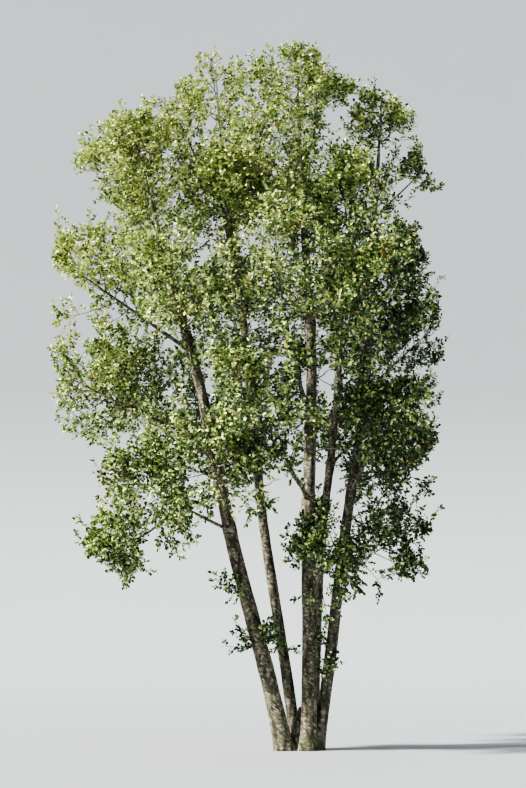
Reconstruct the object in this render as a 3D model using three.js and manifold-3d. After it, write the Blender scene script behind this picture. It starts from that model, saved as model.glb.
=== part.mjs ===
// A white alder: five stems from one root, with their boughs and masses of leaves.
// Millimetres. +Z is up, +X is to the viewer's right and +Y is away from the viewer.
// The origin lies between the stems, in the flat cut at ground level.

import * as THREE from "three";
import { mergeVertices } from "three/addons/utils/BufferGeometryUtils.js";
import Module from "manifold-3d";

const wasm = await Module();
wasm.setup();

// Sizes of the limbs
const FORK_HEIGHT = 900; // the stems leave the root crown here
const STOOL = { foot: [50, 20, 0], top: [20, 30, 820], radius: 230, topRadius: 85 };
const JOINT_GAP = 0.3; // between two pieces that meet
const STEM_TIP_RADIUS = 28;
const STEM_TAPER = 0.6; // below 1 a stem keeps its girth longer
const STEM_SWAY = 60;
const FLARE = 0.35; // share by which the girth grows at the ground
const FLARE_HEIGHT = 230;
const ROOT_LOBES = 3;
const ROOT_LOBE_DEPTH = 0.16;
const ROOT_DEPTH = 350; // each stem is drawn this far down, then cut off at the ground
const BOUGH_GIRTH = 0.013; // radius for each millimetre of reach
const BOUGH_TIP_SHARE = 0.5;
const BOUGH_MOST = 0.85; // a bough is at most this share of its stem's girth
const BOUGH_ARCH = 0.1;
const BOUGH_SWAY = 0.02;
const BOUGH_LEAST = 1600; // a shorter limb is the stem of its mass

// Sizes of the masses
const ENTRY = 0.6; // a limb ends at this share of the spread before the middle of its mass
const TIP_INSET = 6; // the stem of a mass starts this deep in the limb that bears it
const TIP_FIT = 0.75; // the girth of that stem, as a share of the limb's own at its tip
const SPACE_GAP = 15; // between two masses
const FIRST_SEED = 100;
const LEAST_BARE = 60; // the leader bears nothing this near its root and its leaf
const LATERALS = 9;
const LATERAL_SPAN = [0.65, 0.62]; // the leader bears laterals from below its mass's middle to above it
const LATERAL_ANGLES = [80, 36]; // degrees off the leader, from the lowest to the highest
const GOLDEN_ANGLE = 137.5;
const LIFT = 0.12; // how far a lateral turns up to the light
const SHOOT_REACH = [0.88, 0.98]; // of the room that there is
const TRIALS = 8; // ways tried for a shoot before it is left out
const TRIAL_TILT = 0.06; // each one strays further from its aim
const LEADER_TIP_RADIUS = 32;
const TWIG_RADIUS = [12, 12];
const TWIG_SHARE = 0.3; // a lateral is bare for at least this share of its reach
const LEAF_ROOT_RADIUS = 4;
const LEAF_GAP = 2;
const LEAF_PLACES = [0.3, 0.85]; // along a lateral's bare twig
const LEAF_ANGLES = [62, 55]; // degrees off the lateral
const LEAF_LENGTH = [850, 1050]; // a leaf here stands for a whole spray
const LEAF_LEAST = 0.5; // a leaf with less room than this share of its length is left out
const LEAF_WIDTH = 0.75; // share of the length
const LEAF_THICKNESS = 0.016;
const LEAF_WIDEST = 0.42;
const SHOOT_TILT = 0.8;
const LEAF_TILT = 0.25;

// Faces around and along a limb
const FLATNESS = 0.01; // faces this near one plane become one
const TWIG_SIDES = 3;
const FACE_TURN = 60; // degrees from a twig's top edge to the middle of a face beside it
const STEM_SIDES = 10;
const STEM_STEPS = 9;
const ROOT_STEPS = 4;
const BOUGH_SIDES = 6;
const BOUGH_STEPS = 3;

// Each stem's foot on the ground, its tip, the way it bows, its radius at breast height and the
// spread of the mass at its tip
const STEMS = {
  left: { foot: [-240, -140], tip: [-2950, -1050, 10900], bow: [50, 0], radius: 158, spread: 1000 },
  mid_left: { foot: [0, 150], tip: [-1600, 900, 13050], bow: [-120, 100], radius: 110, spread: 1200 },
  centre: { foot: [200, -140], tip: [100, -600, 12850], bow: [280, 0], radius: 152, spread: 1000 },
  back: { foot: [270, 220], tip: [1350, 1750, 11750], bow: [-100, 200], radius: 104, spread: 900 },
  right: { foot: [380, 20], tip: [1820, -100, 12300], bow: [350, 0], radius: 118, spread: 850 },
};

// Each limb's place up its stem, its heading (0 is to the right, 90 away from the viewer) and rise in
// degrees, its reach to the middle of its mass, and that mass's spread
const LIMBS = [
  { stem: "left", name: "tip_high", at: 9800, heading: 155, rise: 55, reach: 2250, spread: 900 },
  { stem: "left", name: "outer_high", at: 7700, heading: 185, rise: 35, reach: 2100, spread: 1150 },
  { stem: "left", name: "outer_mid", at: 5600, heading: 170, rise: 30, reach: 2800, spread: 1250 },
  { stem: "left", name: "outer_low", at: 4150, heading: 210, rise: 20, reach: 1650, spread: 1050 },
  { stem: "left", name: "skirt", at: 4900, heading: 195, rise: -30, reach: 2100, spread: 750 },
  { stem: "left", name: "front_high", at: 6450, heading: 250, rise: 50, reach: 2550, spread: 1400 },
  { stem: "left", name: "front_low", at: 4200, heading: 260, rise: 30, reach: 2050, spread: 1400 },
  { stem: "left", name: "back_high", at: 7900, heading: 115, rise: 50, reach: 4400, spread: 1450 },
  { stem: "left", name: "back_low", at: 5200, heading: 125, rise: 35, reach: 3700, spread: 1450 },
  { stem: "mid_left", name: "top_left", at: 10700, heading: 215, rise: 60, reach: 2450, spread: 1050 },
  { stem: "mid_left", name: "front", at: 8850, heading: 255, rise: 50, reach: 2450, spread: 1300 },
  { stem: "mid_left", name: "back_top", at: 10000, heading: 85, rise: 55, reach: 3000, spread: 1350 },
  { stem: "mid_left", name: "back_mid", at: 7100, heading: 100, rise: 45, reach: 3150, spread: 1600 },
  { stem: "mid_left", name: "back_low", at: 5500, heading: 105, rise: 25, reach: 2300, spread: 1500 },
  { stem: "centre", name: "fork_top", at: 10600, heading: 45, rise: 80, reach: 2850, spread: 850 },
  { stem: "centre", name: "front_top", at: 8400, heading: 240, rise: 60, reach: 3150, spread: 1300 },
  { stem: "centre", name: "front_mid", at: 6200, heading: 255, rise: 40, reach: 2950, spread: 1550 },
  { stem: "centre", name: "front_low", at: 4700, heading: 245, rise: 30, reach: 2600, spread: 1450 },
  { stem: "centre", name: "skirt", at: 2900, heading: 285, rise: 25, reach: 1350, spread: 950 },
  { stem: "back", name: "back_top", at: 9750, heading: 110, rise: 55, reach: 2800, spread: 1350 },
  { stem: "back", name: "back_mid", at: 7550, heading: 85, rise: 45, reach: 2600, spread: 1600 },
  { stem: "back", name: "back_low", at: 5700, heading: 70, rise: 25, reach: 2000, spread: 1450 },
  { stem: "right", name: "tip_high", at: 10800, heading: 20, rise: 45, reach: 1700, spread: 500 },
  { stem: "right", name: "outer_high", at: 8600, heading: 50, rise: 50, reach: 1300, spread: 900 },
  { stem: "right", name: "outer_mid", at: 7000, heading: 20, rise: 45, reach: 1400, spread: 1050 },
  { stem: "right", name: "outer_low", at: 5100, heading: 30, rise: 25, reach: 1000, spread: 1080 },
  { stem: "right", name: "front_top", at: 7350, heading: 255, rise: 55, reach: 3050, spread: 1200 },
  { stem: "right", name: "front_mid", at: 5550, heading: 270, rise: 45, reach: 3000, spread: 1400 },
  { stem: "right", name: "front_low", at: 4950, heading: 290, rise: 35, reach: 2050, spread: 1150 },
  { stem: "right", name: "skirt", at: 3400, heading: 340, rise: 25, reach: 900, spread: 1000 },
];

const UP = new THREE.Vector3(0, 0, 1);
const AWAY = new THREE.Vector3(0, 1, 0);
const radians = THREE.MathUtils.degToRad;
const mix = THREE.MathUtils.lerp;

// The same run of draws from 0 to 1 for the same seed
function draws(seed) {
  let state = Math.imul(seed, 2654435761) >>> 0;
  return (low = 0, high = 1) => {
    state = (Math.imul(state, 1664525) + 1013904223) >>> 0;
    return low + ((high - low) * state) / 2 ** 32;
  };
}

// The direction of a heading and a rise in degrees
function direction(heading, rise) {
  const level = Math.cos(radians(rise));
  const turn = radians(heading);
  return new THREE.Vector3(Math.cos(turn) * level, Math.sin(turn) * level, Math.sin(radians(rise)));
}

// A vector made square to an axis, at length 1
function squareTo(axis, vector) {
  return vector.clone().addScaledVector(axis, -vector.dot(axis)).normalize();
}

// The upper side of an axis, or the far side of an upright one
function upperOf(axis) {
  return squareTo(axis, Math.abs(axis.z) > 0.9 ? AWAY : UP);
}

// A direction turned by an angle in degrees towards one that is square to it
function turned(along, towards, angle) {
  const [cos, sin] = [Math.cos(radians(angle)), Math.sin(radians(angle))];
  return along.clone().multiplyScalar(cos).addScaledVector(towards, sin);
}

// A direction tilted by chance
function tilted(vector, tilt, draw) {
  return new THREE.Vector3(draw(-1, 1), draw(-1, 1), draw(-1, 1)).multiplyScalar(tilt).add(vector);
}

// A limb's middle line: it bends once and sways a little on either side
class LimbCurve extends THREE.Curve {
  constructor(start, bend, end, sway, seed) {
    super();
    this.line = new THREE.QuadraticBezierCurve3(start, bend, end);
    this.sway = sway;
    this.phase = draws(seed)(0, 2 * Math.PI);
  }
  getPoint(t, point = new THREE.Vector3()) {
    this.line.getPoint(t, point);
    const swing = this.sway * Math.sin(Math.PI * t);
    point.x += swing * Math.sin(3 * Math.PI * t + this.phase);
    point.y += swing * Math.cos(2 * Math.PI * t + this.phase);
    return point;
  }
}

// A closed tube through a row of stations, each with its place, direction, width and thickness. One
// corner of its section points to the way given as the top, and a last station of no width is a point.
function tubeGeometry(stations, sides, top) {
  const steps = stations.length - 1;
  const isPointed = stations[steps].width === 0;
  const tube = new THREE.CylinderGeometry(isPointed ? 0 : 1, 1, 1, sides, steps, false, Math.PI / 2);
  const place = tube.getAttribute("position");
  for (let i = 0; i < place.count; i++) {
    const [x, z] = [place.getX(i), place.getZ(i)];
    const turn = Math.atan2(z, x);
    const { point, along, width, thickness, lobes = 0 } = stations[Math.round((place.getY(i) + 0.5) * steps)];
    const rim = Math.hypot(x, z) > 1e-6 ? 1 + lobes * Math.cos(ROOT_LOBES * turn) : 0;
    const rise = squareTo(along, top);
    const side = along.clone().cross(rise);
    const corner = point.clone().addScaledVector(rise, Math.cos(turn) * thickness * rim);
    corner.addScaledVector(side, -Math.sin(turn) * width * rim);
    place.setXYZ(i, corner.x, corner.y, corner.z);
  }
  return tube;
}

function solidOf(geometry) {
  const bare = geometry.clone();
  bare.deleteAttribute("normal");
  bare.deleteAttribute("uv");
  const merged = mergeVertices(bare, 1e-3);
  const mesh = new wasm.Mesh({
    numProp: 3,
    vertProperties: new Float32Array(merged.getAttribute("position").array),
    triVerts: new Uint32Array(merged.index.array),
  });
  return new wasm.Manifold(mesh).simplify(FLATNESS);
}

function geometryOf(solid) {
  const { vertProperties, triVerts } = solid.getMesh();
  const geometry = new THREE.BufferGeometry();
  geometry.setAttribute("position", new THREE.BufferAttribute(vertProperties, 3));
  geometry.setIndex(new THREE.BufferAttribute(triVerts, 1));
  geometry.computeVertexNormals();
  return geometry;
}

// Fuses solids into one body: loose scraps and sealed hollows are dropped
function fuse(solids) {
  const bodies = wasm.Manifold.union(solids).decompose();
  return bodies.reduce((most, body) => (body.volume() > most.volume() ? body : most));
}

// A stem or a bough as a solid, also one made thicker and longer by a margin
function limbSolid(limb, margin = 0) {
  const { from = 0, to = 1, sides, steps, top } = limb.shape;
  const stations = [];
  for (let i = 0; i <= steps; i++) {
    const t = mix(from, i === steps ? to + margin / limb.length : to, i / steps);
    stations.push(stationOn(limb.curve, t, limb.radiusAt(t) + margin));
  }
  return solidOf(tubeGeometry(stations, sides, top));
}

// A round station on a curve
function stationOn(curve, t, radius, lobes = 0) {
  const along = curve.getPoint(t + 1e-3).sub(curve.getPoint(t - 1e-3)).normalize();
  return { point: curve.getPoint(t), along, width: radius, thickness: radius, lobes };
}

// The stems: each starts above the root crown
function makeStem(name, index) {
  const { foot, tip, bow, radius, spread } = STEMS[name];
  const start = new THREE.Vector3(...foot, 0);
  const end = new THREE.Vector3(...tip);
  const bend = start.clone().lerp(end, 0.5).add(new THREE.Vector3(...bow, 0));
  const fork = FORK_HEIGHT / end.z;
  return {
    ...{ name, radius, spread, fork, end },
    curve: new LimbCurve(start, bend, end, STEM_SWAY, index + 1),
    radiusAt: (t) => mix(STEM_TIP_RADIUS, radius * 1.05, Math.max(1 - t, 0) ** STEM_TAPER),
    tipRadius: STEM_TIP_RADIUS,
    length: end.z,
    shape: { sides: STEM_SIDES, steps: STEM_STEPS, from: fork + JOINT_GAP / end.z, top: AWAY },
  };
}

const stems = Object.keys(STEMS).map(makeStem);
const stemNamed = Object.fromEntries(stems.map((stem) => [stem.name, stem]));

// The stool: the stump that the stems' feet have grown together on
const stool = {
  curve: new THREE.LineCurve3(new THREE.Vector3(...STOOL.foot), new THREE.Vector3(...STOOL.top)),
  radiusAt: (t) => mix(STOOL.radius, STOOL.topRadius, Math.max(t, 0)),
  length: STOOL.top[2],
};

// The foot of a stem or of the stool: flared towards the ground and drawn on below it
function footSolid({ curve, radiusAt, length }, to) {
  const stations = [];
  for (let i = 0; i <= ROOT_STEPS; i++) {
    const t = mix(-ROOT_DEPTH / length, to, i / ROOT_STEPS);
    const flare = Math.exp(-Math.max(t * length, 0) / FLARE_HEIGHT);
    stations.push(stationOn(curve, t, radiusAt(t) * (1 + flare * FLARE), flare * ROOT_LOBE_DEPTH));
  }
  return solidOf(tubeGeometry(stations, STEM_SIDES, AWAY));
}

// The root crown: the stool and the feet, fused and cut off flat at the ground
function rootCrownSolid() {
  const ground = new THREE.BoxGeometry(6000, 6000, 2000).translate(0, 0, -1000);
  const feet = stems.map((stem) => footSolid(stem, stem.fork));
  return fuse([footSolid(stool, 1), ...feet]).subtract(solidOf(ground));
}

// The limbs: each leaves its stem, arches out and ends where it enters its mass
function makeLimb(spec, index) {
  const stem = stemNamed[spec.stem];
  const place = spec.at / stem.length;
  const start = stem.curve.getPoint(place);
  const along = direction(spec.heading, spec.rise);
  const bare = spec.reach - ENTRY * spec.spread;
  const end = start.clone().addScaledVector(along, bare);
  const arch = squareTo(along, UP).multiplyScalar(BOUGH_ARCH * bare);
  const bend = start.clone().lerp(end, 0.5).add(arch);
  const radius = Math.min(BOUGH_GIRTH * (spec.reach + spec.spread), BOUGH_MOST * stem.radiusAt(place));
  return {
    name: `${spec.stem}_${spec.name}`,
    curve: new LimbCurve(start, bend, end, BOUGH_SWAY * bare, 20 + index),
    radiusAt: (t) => radius * mix(1, BOUGH_TIP_SHARE, t),
    tipRadius: radius * BOUGH_TIP_SHARE,
    length: bare,
    shape: { sides: BOUGH_SIDES, steps: BOUGH_STEPS, top: along.clone().cross(UP) },
    middle: start.clone().addScaledVector(along, spec.reach),
    ...{ stem, start, end, radius, spread: spec.spread },
  };
}

const limbs = LIMBS.map(makeLimb);
const isBough = (limb) => limb.length >= BOUGH_LEAST;
const boughs = limbs.filter(isBough);

// The masses: one at each stem's tip and one at the end of each limb. Its stem starts inside the
// limb that bears it and is cut off at that limb's surface.
function makeMass(name, { spread, middle }, from, radius, bearer) {
  const along = middle.clone().sub(from).normalize();
  const root = from.clone().addScaledVector(along, -TIP_INSET);
  return { name, spread, middle, along, root, radius, bearer, toMiddle: middle.distanceTo(root) };
}

function stemTipMass(stem) {
  const along = stem.end.clone().sub(stem.curve.getPoint(0.98)).normalize();
  const middle = stem.end.clone().addScaledVector(along, ENTRY * stem.spread);
  const space = { spread: stem.spread, middle };
  return makeMass(`${stem.name}_crown`, space, stem.end, stem.tipRadius * TIP_FIT, stem);
}

function limbMass(limb) {
  if (isBough(limb)) return makeMass(limb.name, limb, limb.end, limb.tipRadius * TIP_FIT, limb);
  return makeMass(limb.name, limb, limb.start, limb.radius, limb.stem);
}

const masses = [...stems.map(stemTipMass), ...limbs.map(limbMass)];

// How far a ray runs inside a mass's own space: a ball, cut off flat halfway to each neighbour
function roomAlong(mass, start, along) {
  const arm = start.clone().sub(mass.middle);
  const b = arm.dot(along);
  const inside = b * b - arm.lengthSq() + mass.spread ** 2;
  if (inside <= 0) return 0;
  let room = Math.sqrt(inside) - b;
  for (const other of masses) {
    if (other === mass) continue;
    const between = other.middle.clone().sub(mass.middle);
    const apart = between.length();
    const wall = (apart ** 2 + mass.spread ** 2 - other.spread ** 2) / (2 * apart) - SPACE_GAP / 2;
    const facing = between.normalize();
    const short = wall - arm.dot(facing);
    if (short <= 0) return 0;
    const speed = along.dot(facing);
    if (speed > 0) room = Math.min(room, short / speed);
  }
  return room;
}

function isInSpace(mass, geometry) {
  const place = geometry.getAttribute("position");
  const corner = new THREE.Vector3();
  for (let i = 0; i < place.count; i++) {
    corner.fromBufferAttribute(place, i);
    if (roomAlong(mass, corner, UP) === 0) return false;
  }
  return true;
}

// A shoot: a bare three-sided twig that widens into the leaf at its end
function shootGeometry({ start, along, bare, radii, leaf, top }) {
  const station = (distance, width, thickness) => {
    return { point: start.clone().addScaledVector(along, distance), along, width, thickness };
  };
  const stations = [station(0, radii[0], radii[0])];
  if (bare > 0) stations.push(station(bare, radii[1], radii[1]));
  const width = (leaf * LEAF_WIDTH) / Math.sqrt(3);
  stations.push(station(bare + leaf * LEAF_WIDEST, width, (leaf * LEAF_THICKNESS) / 1.5));
  stations.push(station(bare + leaf, 0, 0));
  return tubeGeometry(stations, TWIG_SIDES, top);
}

// A shoot as a solid, with its leaf alone as a second one
function makeShoot(shoot) {
  const end = shoot.start.clone().addScaledVector(shoot.along, shoot.bare);
  const leafAlone = { ...shoot, start: end, bare: 0, radii: [shoot.radii.at(-1)] };
  return { ...shoot, solid: solidOf(shootGeometry(shoot)), blade: solidOf(shootGeometry(leafAlone)) };
}

const areApart = (one, other) => one.minGap(other, 2 * LEAF_GAP) > LEAF_GAP;

// A mass's leader, from its bearer through the middle of its space to the far side
function makeLeader(mass, draw) {
  const reach = mass.toMiddle + roomAlong(mass, mass.middle, mass.along) * SHOOT_REACH[1];
  const leaf = mix(...LEAF_LENGTH, 0.5);
  const radii = [mass.radius, LEADER_TIP_RADIUS];
  const top = tilted(UP, SHOOT_TILT, draw);
  return makeShoot({ start: mass.root, along: mass.along, bare: reach - leaf, leaf, radii, top });
}

// Grows a shoot on another where it has room and touches nothing, else gives null
function growShoot(mass, grown, bearer, { place, aim, twigShare, radii, upper, tilt }, draw) {
  const start = bearer.start.clone().addScaledVector(bearer.along, place);
  for (let trial = 0; trial < TRIALS; trial++) {
    const along = tilted(aim, trial * TRIAL_TILT, draw).normalize();
    const room = roomAlong(mass, start, along) * draw(...SHOOT_REACH);
    const wanted = draw(...LEAF_LENGTH);
    const leaf = Math.min(wanted, room * (1 - twigShare));
    const bare = twigShare > 0 ? room - leaf : 0;
    const top = tilted(upper, tilt, draw);
    if (leaf < wanted * LEAF_LEAST) continue;
    const shoot = makeShoot({ start, along, bare, leaf, radii, top });
    if (!isInSpace(mass, shootGeometry(shoot)) || !mass.keepsClear(shoot.solid)) continue;
    const isFreeOf = (other) => areApart(shoot.solid, other === bearer ? other.blade : other.solid);
    if (!grown.every(isFreeOf)) continue;
    grown.push(shoot);
    return shoot;
  }
  return null;
}

// The two leaves on a lateral's twig leave it through the faces beside its top edge
function growPair(mass, grown, lateral, draw) {
  const top = squareTo(lateral.along, lateral.top);
  for (const [i, hand] of [-1, 1].entries()) {
    const side = top.clone().applyAxisAngle(lateral.along, radians(hand * FACE_TURN));
    const aim = turned(lateral.along, side, LEAF_ANGLES[i]);
    const upper = aim.clone().cross(lateral.along).multiplyScalar(hand);
    const style = { twigShare: 0, radii: [LEAF_ROOT_RADIUS], upper, tilt: LEAF_TILT };
    growShoot(mass, grown, lateral, { place: lateral.bare * LEAF_PLACES[i], aim, ...style }, draw);
  }
}

// The growth rule. A leader runs through the space, laterals turn round it by the golden angle, and
// each bears a leaf to its left, one to its right and one at its end.
function growMass(mass, seed) {
  const draw = draws(seed);
  const leader = makeLeader(mass, draw);
  const grown = [leader];
  const lowest = Math.max(mass.toMiddle - LATERAL_SPAN[0] * mass.spread, LEAST_BARE);
  const highest = Math.min(mass.toMiddle + LATERAL_SPAN[1] * mass.spread, leader.bare - LEAST_BARE);
  const firstTurn = draw(0, 360);
  for (let k = 0; k < LATERALS; k++) {
    const share = k / (LATERALS - 1);
    const around = upperOf(mass.along).applyAxisAngle(mass.along, radians(firstTurn + k * GOLDEN_ANGLE));
    const aim = turned(mass.along, around, mix(...LATERAL_ANGLES, share));
    aim.addScaledVector(UP, LIFT).normalize();
    const style = { twigShare: TWIG_SHARE, radii: TWIG_RADIUS, upper: UP, tilt: SHOOT_TILT };
    const place = mix(lowest, highest, share);
    const lateral = growShoot(mass, grown, leader, { place, aim, ...style }, draw);
    if (lateral) growPair(mass, grown, lateral, draw);
  }
  leader.solid = leader.solid.subtract(limbSolid(mass.bearer, JOINT_GAP));
  return fuse(grown.map((shoot) => shoot.solid));
}

// The stem of a mass up to its middle, as the others have to keep clear of it
function massStemSolid(mass) {
  const curve = new THREE.LineCurve3(mass.root, mass.middle);
  const stations = [stationOn(curve, 0, mass.radius), stationOn(curve, 1, LEADER_TIP_RADIUS)];
  return solidOf(tubeGeometry(stations, TWIG_SIDES, AWAY));
}

function makeTree() {
  const bark = new THREE.MeshStandardMaterial({ color: 0x8d8672, roughness: 0.9, metalness: 0 });
  const foliage = new THREE.MeshStandardMaterial({ color: 0x7f9150, roughness: 0.55, metalness: 0 });
  const tree = new THREE.Group();
  const add = (name, solid, material) => {
    const mesh = new THREE.Mesh(geometryOf(solid), material);
    mesh.name = name;
    tree.add(mesh);
  };

  const rootCrown = rootCrownSolid();
  const stemSolids = stems.map((stem) => limbSolid(stem));
  const boughSolids = boughs.map((bough) => limbSolid(bough).subtract(limbSolid(bough.stem, JOINT_GAP)));
  add("root_crown", rootCrown, bark);
  stems.forEach((stem, i) => add(`stem_${stem.name}`, stemSolids[i], bark));
  boughs.forEach((bough, i) => add(`bough_${bough.name}`, boughSolids[i], bark));

  const wood = wasm.Manifold.union([rootCrown, ...stemSolids, ...boughSolids]);
  const massStems = masses.map(massStemSolid);
  masses.forEach((mass, i) => {
    const obstacles = [wood, ...massStems.filter((_, k) => k !== i)];
    mass.keepsClear = (solid) => obstacles.every((obstacle) => areApart(solid, obstacle));
    add(`leaves_${mass.name}`, growMass(mass, FIRST_SEED + i), foliage);
  });
  return tree;
}

export default makeTree();
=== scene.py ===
"""A white alder with five stems from one root, and its boughs, twigs and leaves.

Metres. +Z is up, +X is to the viewer's right, +Y is away from the viewer, and the
origin lies on the ground between the stems.
"""

import math
from functools import lru_cache

import bpy
import numpy as np
from bpy.props import FloatProperty, FloatVectorProperty, IntProperty, PointerProperty
from bpy.types import Operator, Panel, PropertyGroup
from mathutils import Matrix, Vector, noise


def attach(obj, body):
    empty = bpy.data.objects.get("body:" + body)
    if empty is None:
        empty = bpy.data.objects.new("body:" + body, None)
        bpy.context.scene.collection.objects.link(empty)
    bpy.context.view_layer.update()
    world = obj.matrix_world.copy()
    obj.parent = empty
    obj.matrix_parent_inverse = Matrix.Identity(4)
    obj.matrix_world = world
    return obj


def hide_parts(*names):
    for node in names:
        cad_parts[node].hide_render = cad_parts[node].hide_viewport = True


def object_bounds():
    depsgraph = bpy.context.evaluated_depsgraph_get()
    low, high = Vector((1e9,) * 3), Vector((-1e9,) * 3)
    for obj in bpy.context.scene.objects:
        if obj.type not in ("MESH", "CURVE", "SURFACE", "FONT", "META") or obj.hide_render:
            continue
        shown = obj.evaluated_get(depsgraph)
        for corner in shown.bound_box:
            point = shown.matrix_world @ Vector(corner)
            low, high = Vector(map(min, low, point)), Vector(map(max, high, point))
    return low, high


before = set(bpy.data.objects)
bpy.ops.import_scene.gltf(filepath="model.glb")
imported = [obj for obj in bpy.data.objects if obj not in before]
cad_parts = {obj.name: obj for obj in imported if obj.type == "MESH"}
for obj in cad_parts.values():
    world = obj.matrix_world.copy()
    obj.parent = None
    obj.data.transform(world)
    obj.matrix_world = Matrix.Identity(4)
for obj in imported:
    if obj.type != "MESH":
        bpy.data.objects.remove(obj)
SOLID_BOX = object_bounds()

bl_info = {
    "name": "White Alder",
    "version": (1, 0, 0),
    "blender": (4, 5, 0),
    "location": "3D View > Sidebar > Alder",
    "description": "Builds a many-stemmed white alder over its solid frame",
    "category": "Add Mesh",
}

UP = np.array((0.0, 0.0, 1.0))
AWAY = np.array((0.0, 1.0, 0.0))

# The photo's frame and the camera that took it
PHOTO_SIZE = (526, 788)
CAMERA_PLACE = (-0.652, -24.0, 1.6)
CAMERA_RISE = 12.68  # degrees
FOCAL_PIXELS = 1202
SENSOR_SIZE = 36.0
FAR_CLIP = 400

# Each stem's foot, tip, bow, radius at breast height and the spread of the mass at its tip
STEMS = {
    "left": ((-0.24, -0.14), (-2.95, -1.05, 10.90), (0.05, 0.0), 0.158, 1.00),
    "mid_left": ((0.00, 0.15), (-1.60, 0.90, 13.05), (-0.12, 0.10), 0.110, 1.20),
    "centre": ((0.20, -0.14), (0.10, -0.60, 12.85), (0.28, 0.0), 0.152, 1.00),
    "back": ((0.27, 0.22), (1.35, 1.75, 11.75), (-0.10, 0.20), 0.104, 0.90),
    "right": ((0.38, 0.02), (1.82, -0.10, 12.30), (0.35, 0.0), 0.118, 0.85),
}

# Each limb's stem, name, place up the stem, heading and rise in degrees, reach and spread
LIMBS = (
    ("left", "tip_high", 9.80, 155, 55, 2.25, 0.90),
    ("left", "outer_high", 7.70, 185, 35, 2.10, 1.15),
    ("left", "outer_mid", 5.60, 170, 30, 2.80, 1.25),
    ("left", "outer_low", 4.15, 210, 20, 1.65, 1.05),
    ("left", "skirt", 4.90, 195, -30, 2.10, 0.75),
    ("left", "front_high", 6.45, 250, 50, 2.55, 1.40),
    ("left", "front_low", 4.20, 260, 30, 2.05, 1.40),
    ("left", "back_high", 7.90, 115, 50, 4.40, 1.45),
    ("left", "back_low", 5.20, 125, 35, 3.70, 1.45),
    ("mid_left", "top_left", 10.70, 215, 60, 2.45, 1.05),
    ("mid_left", "front", 8.85, 255, 50, 2.45, 1.30),
    ("mid_left", "back_top", 10.00, 85, 55, 3.00, 1.35),
    ("mid_left", "back_mid", 7.10, 100, 45, 3.15, 1.60),
    ("mid_left", "back_low", 5.50, 105, 25, 2.30, 1.50),
    ("centre", "fork_top", 10.60, 45, 80, 2.85, 0.85),
    ("centre", "front_top", 8.40, 240, 60, 3.15, 1.30),
    ("centre", "front_mid", 6.20, 255, 40, 2.95, 1.55),
    ("centre", "front_low", 4.70, 245, 30, 2.60, 1.45),
    ("centre", "skirt", 2.90, 285, 25, 1.35, 0.95),
    ("back", "back_top", 9.75, 110, 55, 2.80, 1.35),
    ("back", "back_mid", 7.55, 85, 45, 2.60, 1.60),
    ("back", "back_low", 5.70, 70, 25, 2.00, 1.45),
    ("right", "tip_high", 10.80, 20, 45, 1.70, 0.50),
    ("right", "outer_high", 8.60, 50, 50, 1.30, 0.90),
    ("right", "outer_mid", 7.00, 20, 45, 1.40, 1.05),
    ("right", "outer_low", 5.10, 30, 25, 1.00, 1.08),
    ("right", "front_top", 7.35, 255, 55, 3.05, 1.20),
    ("right", "front_mid", 5.55, 270, 45, 3.00, 1.40),
    ("right", "front_low", 4.95, 290, 35, 2.05, 1.15),
    ("right", "skirt", 3.40, 340, 25, 0.90, 1.00),
)

# The stump that the stems' feet have grown together on: foot, top, radius, radius at the top and taper
STOOL = ((0.05, 0.02, 0.0), (0.07, 0.02, 0.80), 0.23, 0.02, 0.75)
STOOL_SEED = 9
STOOL_RINGS = 26

# The stems' bark, with the flare of their feet
FOOT_GIRTH = 1.05  # radius at the foot, under the flare, for the radius at breast height
STEM_TIP_RADIUS = 0.028
STEM_TAPER = 0.6  # below 1 a stem keeps its girth longer
STEM_SWAY = 0.06
STEM_SIDES = 26
FLARE = 0.35  # share by which the girth grows at the ground
FLARE_HEIGHT = 0.23
ROOT_LOBES = 3
ROOT_LOBE_DEPTH = 0.16
STEM_BEGIN = -0.01  # the bark starts at this share of the way along, below the ground
STOOL_BEGIN = -0.1
BULGE_WIDTH = 2.1  # of the swelling where a limb leaves its stem, for the limb's radius
BULGE_HEIGHT = 0.55

# The boughs, the ends of limbs in their masses, and what both share
BOUGH_GIRTH = 0.013  # radius for each metre of reach and spread
BOUGH_TIP_SHARE = 0.5
BOUGH_MOST = 0.85  # a bough is at most this share of its stem's girth
BOUGH_ARCH = 0.1
BOUGH_SWAY = 0.02
BOUGH_LEAST = 1.6  # a shorter limb is the stem of its mass
BOUGH_SEED = 20
SWAY_WAVES = (3, 2)  # half waves of the sway along a limb, to the side and to the back
ENTRY = 0.6  # a limb ends at this share of the spread before the middle of its mass
SPACE_GAP = 0.015  # between two masses
FIRST_SEED = 100
GOLDEN_ANGLE = math.radians(137.5)
UPRIGHT = 0.9  # an axis that rises more than this has its upper side at the back

# The bark: the slant of its painted twig shadows, and for furrows, plates and lumps their waves for each
# metre and how far they stand out, as a share of the relief's depth or, for lumps, of the limb's radius
SHADOW_STREAK_SLANT = math.radians(-40)
FURROW_WAVES = (17, 17, 3.2)
FURROW_SHARPNESS = 2.6
FURROW_DEPTH = 0.9
PLATE_WAVES = (38, 38, 11)
PLATE_HEIGHT = 0.55
LUMP_WAVES = (3.4, 3.4, 1.5)
LUMP_SHIFT = (7, 0, 0)
LUMP_HEIGHT = 0.07
RELIEF_FALL = 0.65  # share of the depth that is lost towards the tip
BOUGH_RELIEF = 0.35
SNAG_RELIEF = 0.2

# Patterns on the bark: stretch of the noise along the limb, its scale and detail, and the values
# where the pattern sets in and is full
LICHEN = (1.5, 13.0, 6.0, 0.49, 0.60)
PORES = (5.5, 26.0, 2.0, 0.64, 0.72)
# Slanting streaks are painted shadows of twigs on the bark.
SHADOW_STREAKS = (3.2, 9.0, 5.0, 0.53, 0.61)
CHECKS = (0.3, 60.0, 3.0, 0.42, 0.52)
MOSS_HEIGHTS = (0.1, 2.6)  # moss is full up to the first and gone above the second

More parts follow.
